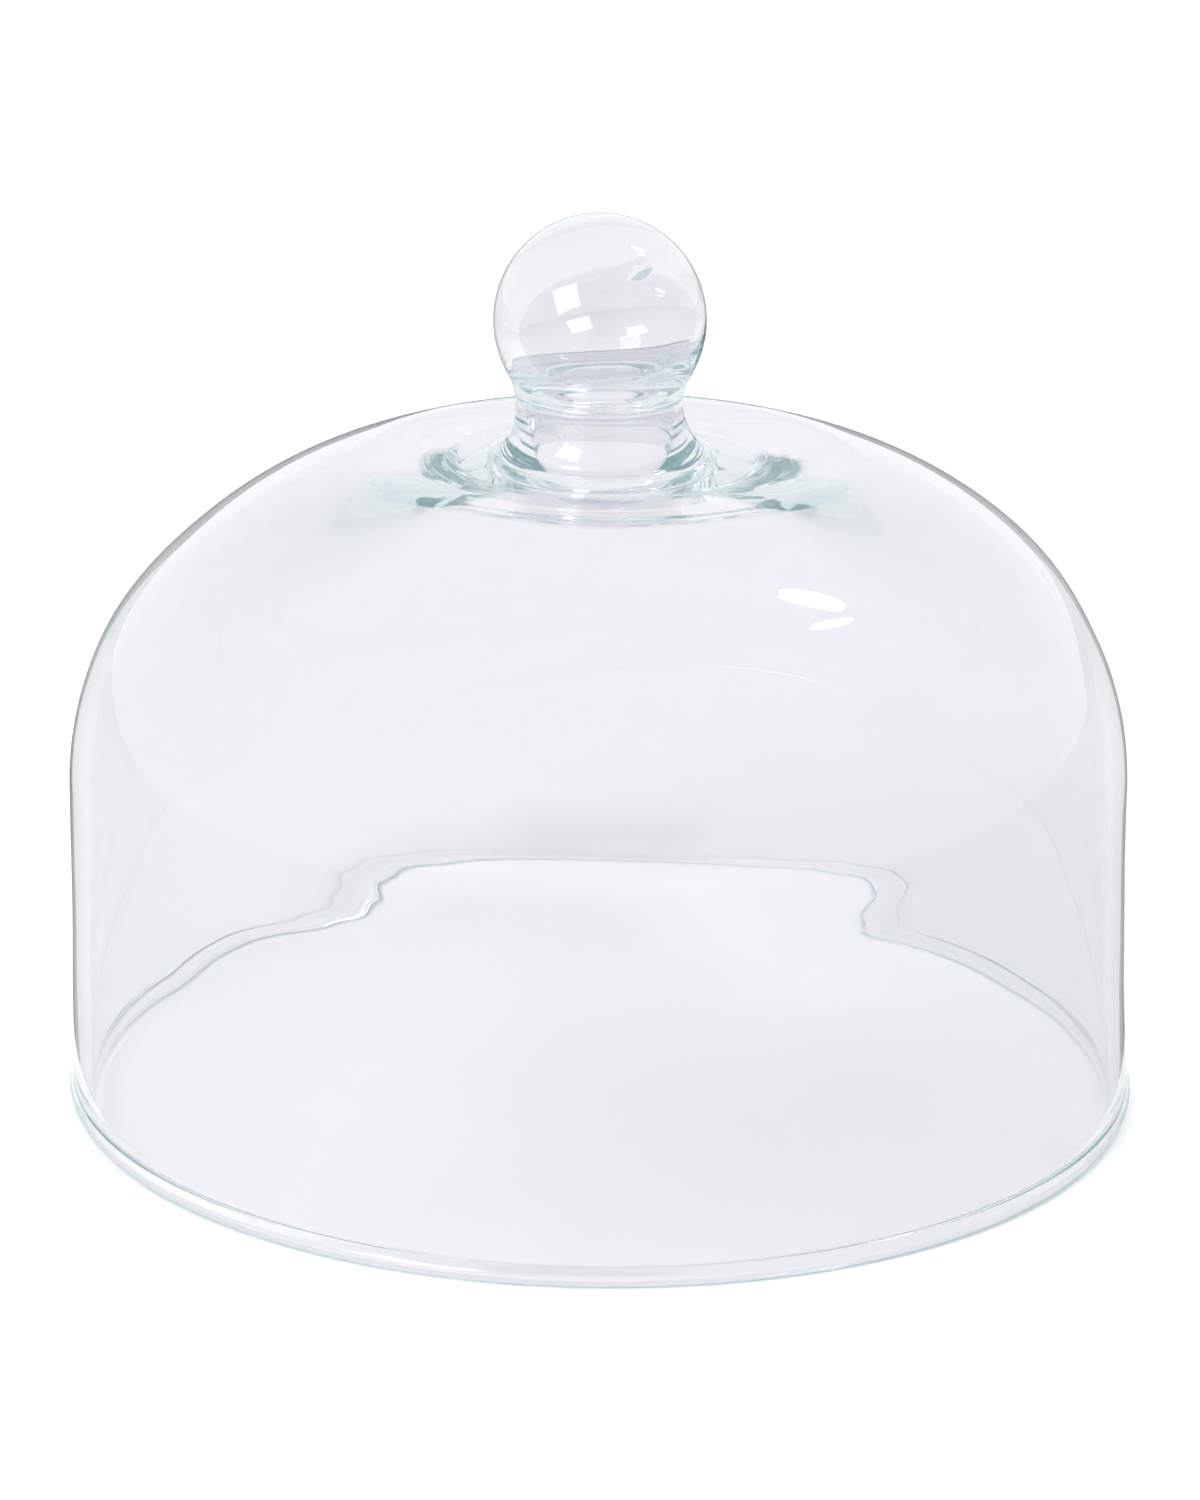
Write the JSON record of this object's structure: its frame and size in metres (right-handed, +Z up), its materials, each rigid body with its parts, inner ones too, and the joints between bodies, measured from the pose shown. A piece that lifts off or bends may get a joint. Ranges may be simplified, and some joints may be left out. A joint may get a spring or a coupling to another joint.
{
  "type": "glass cloche",
  "caption": "Clear glass dome cover with a rolled rim, a domed shoulder and a hollow ball knob on a waisted neck.",
  "frame": {"origin": "centre of the mouth, in the plane that the rim stands on", "axes": "+Z up the dome's axis of revolution through the knob; X and Y lie in the plane of the mouth"},
  "size_m": [0.28, 0.28, 0.2331],
  "materials": {
    "clear_glass": "clear polished soda-lime glass, very slightly blue-green where it is thick"
  },
  "bodies": {
    "root": {"lip_bead": "clear_glass", "bell_wall": "clear_glass", "bell_shoulder": "clear_glass", "crown_disc": "clear_glass", "knob_neck": "clear_glass", "knob_ball": "clear_glass"}
  },
  "joints": []
}
